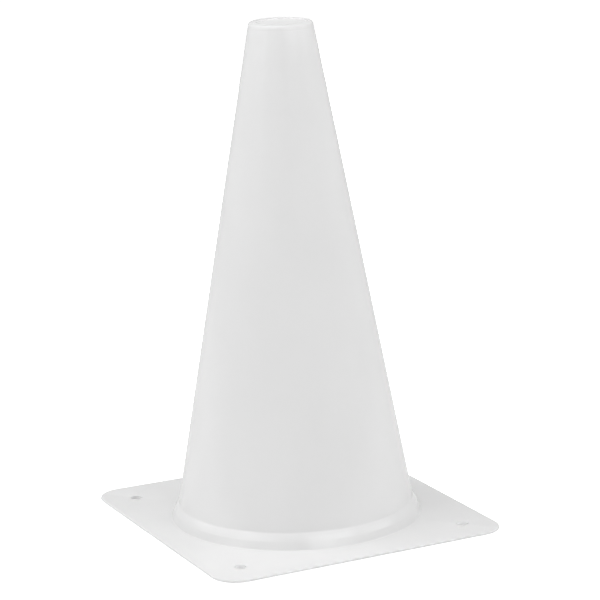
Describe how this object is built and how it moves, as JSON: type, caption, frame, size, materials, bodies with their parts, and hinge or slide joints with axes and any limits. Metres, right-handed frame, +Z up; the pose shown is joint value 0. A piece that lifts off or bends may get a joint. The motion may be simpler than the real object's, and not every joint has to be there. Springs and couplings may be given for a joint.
{
  "type": "sports marker cone",
  "caption": "White tapered marker cone, hollow with a closed recessed top, snapped into a thin square ground plate with a raised foot ring and peg holes in the corners.",
  "frame": {"origin": "on the ground, at the centre of the ground plate's underside", "axes": "+Z up along the cone's axis, +X and +Y square to the sides of the ground plate"},
  "size_m": [0.143, 0.143, 0.23],
  "materials": {
    "cone_body": "semi-gloss moulded polyethylene, slightly waxy, with a faint waviness on the neck",
    "base_plate": "semi-gloss moulded polyethylene sheet with a faint grain"
  },
  "bodies": {
    "root": {"cone_body": "cone_body", "base_plate": "base_plate"}
  },
  "joints": []
}
